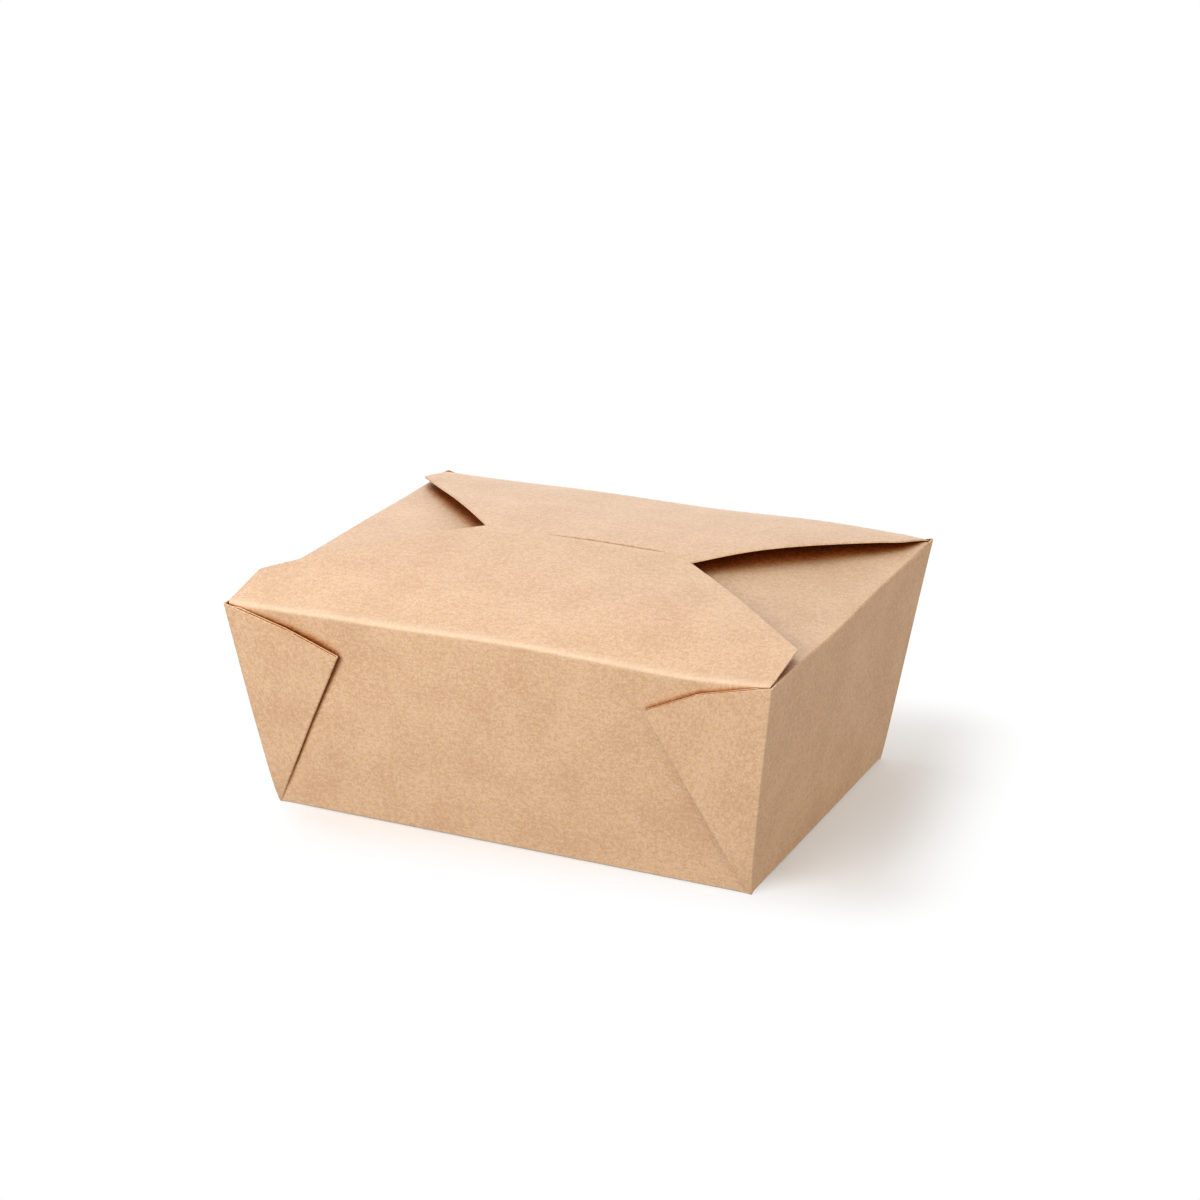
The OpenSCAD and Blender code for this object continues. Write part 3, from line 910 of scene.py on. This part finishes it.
class BoardFinish(bpy.types.PropertyGroup):
    """Colours of the board's fibres, of its creases and of the floor."""

    outer_pale: colour("Outer, pale", "#DFB98F", "Pale fibres of the outer face")
    outer_rosy: colour("Outer, rosy", "#DFBB9B", "Rosy fibres of the outer face")
    outer_dark: colour("Outer, dark", "#CAA07B", "Dark fibres of the outer face")
    inner_pale: colour("Inner, pale", "#DBB48F", "Pale fibres of the inner face")
    inner_rosy: colour("Inner, rosy", "#DCB699", "Rosy fibres of the inner face")
    inner_dark: colour("Inner, dark", "#CFA680", "Dark fibres of the inner face")
    edge_pale: colour("Edge, pale", "#E6C6A2", "Pale fibres of the cut edges")
    edge_rosy: colour("Edge, rosy", "#E6C6AA", "Rosy fibres of the cut edges")
    edge_dark: colour("Edge, dark", "#D2AC84", "Dark fibres of the cut edges")
    # The crease colour also paints the highlight along the rounded folds
    crease: colour("Crease", "#E8CDB0", "Stretched fibres of a fully worn crease")
    floor: colour("Floor", "#E1E1E1", "Paper of the floor where the shadow falls")


class OBJECT_OT_carton_sheet(bpy.types.Operator):
    """Builds the base, end walls, webs, end flaps, back wall and back flap"""

    bl_idname = "object.carton_sheet"
    bl_label = "Carton sheet"

    def execute(self, context):
        sizes = context.scene.carton_sizes
        left, right = BACK.cut_ends(sum(SLIT_ROWS) / 2, sizes.flap_root, SLIT_HALF)
        share_x = columns(-left, right, spacing=LONG_STEP)
        flap_share = sizes.end_flap_share
        share_y = columns(flap_share, flap_share + 0.005, spacing=END_STEP)
        corners = {key: Corner(sizes, *key) for key in FOLDS}
        parts = [corners[key].part().mirrored(*key) for key in FOLDS]
        for x_sign in (-1, 1):
            ends = end_panel(sizes, corners[x_sign, -1], corners[x_sign, 1], share_y)
            parts += [p.mirrored(x_sign, 1) for p in ends]
        foot, panel, reach = long_panel(sizes, BACK, corners[-1, 1], corners[1, 1], share_x,
                                        (BACK_STOP, *SLIT_ROWS, BACK.tip))
        middle = (share_x[:-1] + share_x[1:]) / 2
        panel.keep = np.ones((len(reach) - 1, len(middle)), bool)
        slit_row = int(np.argmin(np.abs(reach - SLIT_ROWS[0])))
        panel.keep[slit_row, (middle > left) & (middle < right)] = False
        base_rows = np.unique(np.concatenate([share_y[share_y > -SEAM], [-SEAM]]))
        parts += [foot, panel, base_patch(sizes, share_x, base_rows)]
        obj = board_object("carton_sheet", parts, context)
        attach(obj, "carton")
        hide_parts("carton")
        return {"FINISHED"}


class OBJECT_OT_front_panel(bpy.types.Operator):
    """Builds the front wall and the front flap with its tongue, bending at the rim crease"""

    bl_idname = "object.front_panel"
    bl_label = "Front panel"

    def execute(self, context):
        sizes = context.scene.carton_sizes
        left, right = FRONT.cut_ends(TONGUE_FOLD, sizes.flap_root, TONGUE_HALF)
        share = columns(-left, right, spacing=LONG_STEP)
        foot, panel, _ = long_panel(sizes, FRONT, Corner(sizes, -1, -1),
                                    Corner(sizes, 1, -1), share, (TONGUE_FOLD,))
        on_tongue = (share >= left - NEAR) & (share <= right + NEAR)
        parts = [
            foot, panel, tongue_part(sizes, panel.points[-1, on_tongue]),
            *lips(sizes, panel, share, left, right), base_patch(sizes, share, STRIP_ROWS),
        ]
        obj = board_object("front_panel", [p.mirrored(1, -1) for p in parts], context)
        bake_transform(obj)
        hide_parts("front_flap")
        return {"FINISHED"}


# The floor shows as paper in a rectangle like the base, moved and turned towards the
# shadow's side, and burns out to white over a distance round it
PAPER_SHIFT, PAPER_TURN = (-16 * MM, -10 * MM, 0), math.radians(-8.6)
BURN_REACH = 36 * MM
PAPER_GLOW = 0.23  # what the paper shows in the deepest shadow
FLOOR_BOUNCE = 0.17  # share of light that the floor sends back to the carton
ROOM_LIGHT = 0.15  # light of the room on the carton, where 1 is white


def floor_material(paper_colour):
    """White paper sweep: matt, and white to the camera and to reflections where no shadow falls.

    The share of white goes smoothly from 0 to 1 with the distance outside the
    paper's rectangle, the length of max(abs(x, y) - half sides, 0).
    """
    material, add = new_material("white_paper_sweep")
    coordinate = add("TexCoord")
    shifted = add("Mapping", Vector=coordinate.outputs["Object"], Location=PAPER_SHIFT,
                  Rotation=(0, 0, PAPER_TURN))
    side = add("VectorMath", {"operation": "ABSOLUTE"}, i0=shifted)
    past = add("VectorMath", {"operation": "SUBTRACT"}, i0=side,
               i1=(BASE_CORNER[0], BASE_CORNER[1], 0))
    outside = add("VectorMath", {"operation": "MAXIMUM"}, i0=past, i1=(0, 0, 0))
    away = add("VectorMath", {"operation": "LENGTH"}, i0=outside)
    burnt = add("MapRange", {"interpolation_type": "SMOOTHSTEP"},
                Value=away.outputs["Value"], From_Max=BURN_REACH)
    paper = add("BsdfDiffuse", Color=(*paper_colour, 1))
    glow = add("Emission", Color=(1, 1, 1, 1), Strength=PAPER_GLOW)
    near = add("AddShader", i0=paper, i1=glow)
    white = add("Emission", Color=(1, 1, 1, 1), Strength=1.0)
    both = add("MixShader", i0=burnt, i1=near, i2=white)
    dim = add("BsdfDiffuse", Color=(FLOOR_BOUNCE, FLOOR_BOUNCE, FLOOR_BOUNCE, 1))
    shown = add("MixShader", i0=background_rays(add), i1=dim, i2=both)
    add("OutputMaterial", Surface=shown)
    return material


def background_rays(add):
    """1 for rays from the camera, from reflections and through clear things, else 0."""
    path = add("LightPath")
    shown = add("Math", {"operation": "MAXIMUM"}, i0=path.outputs["Is Camera Ray"],
                i1=path.outputs["Is Glossy Ray"])
    clear = add("Math", {"operation": "MAXIMUM"}, i0=shown,
                i1=path.outputs["Is Transmission Ray"])
    return clear


def room(scene):
    """The world: soft white light on the carton, and plain white behind it."""
    world = bpy.data.worlds.new("soft_white_room")
    world.use_nodes = True
    world.node_tree.nodes.clear()
    add = partial(node, world.node_tree)
    light = add("MapRange", Value=background_rays(add), To_Min=ROOM_LIGHT, To_Max=1.0)
    back = add("Background", Color=(1, 1, 1, 1), Strength=light)
    add("OutputWorld", Surface=back)
    scene.world = world


def aim(obj, target, roll=0.0):
    """Turns a lamp or camera so that it looks at a point, rolled about its line of sight."""
    way = Vector(target) - obj.location
    turned = way.to_track_quat("-Z", "Y") @ Quaternion((0, 0, 1), roll)
    obj.rotation_euler = turned.to_euler()


def direction(turn, tilt):
    """Unit direction from the carton: degrees round from the front towards +X, and up."""
    turn, tilt = math.radians(turn), math.radians(tilt)
    return Vector((
        math.sin(turn) * math.cos(tilt), -math.cos(turn) * math.cos(tilt), math.sin(tilt)
    ))


def lamp(scene, name, kind, turn, tilt, away, energy, tint="#FFFFFF", **settings):
    """A lamp pointed at the middle of the carton.

    An AREA lamp is a square softbox, so near that its light falls off over the
    carton. A SUN is a large far card, seen under its angle.
    """
    made = bpy.data.lights.new(name, kind)
    made.energy = energy
    made.color = linear(tint)
    for key, value in settings.items():
        setattr(made, key, value)
    obj = bpy.data.objects.new(name, made)
    obj.location = direction(turn, tilt) * away
    scene.collection.objects.link(obj)
    aim(obj, (0, 0, 30 * MM))


# The camera, fitted to the box: focal length in pixels of a picture 1200 wide, its
# place as degrees round, degrees up and distance from the point that it looks at
PICTURE_WIDTH, FOCAL_PIXELS = 1200, 2781
LOOKED_AT = Vector((3.6, 0, 59.0)) * MM
CAMERA_ROUND, CAMERA_UP, CAMERA_AWAY = 24.67, 19.68, 833 * MM
CAMERA_ROLL = math.radians(0.306)
FLOOR_REACH = 4.0


def camera_object(scene):
    """The camera at the photograph's viewing angle."""
    lens = bpy.data.cameras.new("camera")
    lens.sensor_width = 36
    lens.lens = FOCAL_PIXELS / PICTURE_WIDTH * lens.sensor_width
    lens.clip_start, lens.clip_end = 0.01, 20
    camera = bpy.data.objects.new("camera", lens)
    camera.location = LOOKED_AT + direction(CAMERA_ROUND, CAMERA_UP) * CAMERA_AWAY
    scene.collection.objects.link(camera)
    aim(camera, LOOKED_AT, CAMERA_ROLL)
    scene.camera = camera


class OBJECT_OT_studio(bpy.types.Operator):
    """Builds the floor, the lamps, the world and the camera"""

    bl_idname = "object.carton_studio"
    bl_label = "Studio"

    def execute(self, context):
        scene = context.scene
        mesh = bpy.data.meshes.new("floor")
        ends = (-FLOOR_REACH, FLOOR_REACH)
        mesh.from_pydata([(x, y, 0) for y in ends for x in ends], [], [(0, 1, 3, 2)])
        mesh.materials.append(floor_material(scene.board_finish.floor))
        floor = bpy.data.objects.new("floor", mesh)
        scene.collection.objects.link(floor)
        room(scene)
        lamp(scene, "high_left_softbox", "AREA", -105, 58, 1.2, 4.4, size=0.55)
        lamp(scene, "front_softbox", "AREA", -12, 24, 0.8, 5.3, size=0.45)
        lamp(scene, "right_card", "SUN", 70, 18, 1.5, 1.85, "#FFF7EA", angle=math.radians(50))
        lamp(scene, "back_card", "SUN", 205, 22, 1.5, 1.4, angle=math.radians(60))
        camera_object(scene)
        scene.view_settings.view_transform = "Standard"
        return {"FINISHED"}


class VIEW3D_PT_carton(bpy.types.Panel):
    """Lists the carton's operators and sizes"""

    bl_label = "Folded carton"
    bl_space_type = "VIEW_3D"
    bl_region_type = "UI"
    bl_category = "Carton"

    def draw(self, context):
        layout = self.layout
        for operator in OPERATORS:
            layout.operator(operator.bl_idname)
        for group in (context.scene.carton_sizes, context.scene.board_finish):
            for name in group.__annotations__:
                layout.prop(group, name)


OPERATORS = (OBJECT_OT_carton_sheet, OBJECT_OT_front_panel, OBJECT_OT_studio)
CLASSES = (CartonSizes, BoardFinish, *OPERATORS, VIEW3D_PT_carton)


def register():
    for cls in CLASSES:
        bpy.utils.register_class(cls)
    bpy.types.Scene.carton_sizes = PointerProperty(type=CartonSizes)
    bpy.types.Scene.board_finish = PointerProperty(type=BoardFinish)


def unregister():
    del bpy.types.Scene.board_finish
    del bpy.types.Scene.carton_sizes
    for cls in reversed(CLASSES):
        bpy.utils.unregister_class(cls)


def main():
    register()
    bpy.ops.object.carton_sheet()
    bpy.ops.object.front_panel()
    bpy.ops.object.carton_studio()


if __name__ == "__main__":
    main()
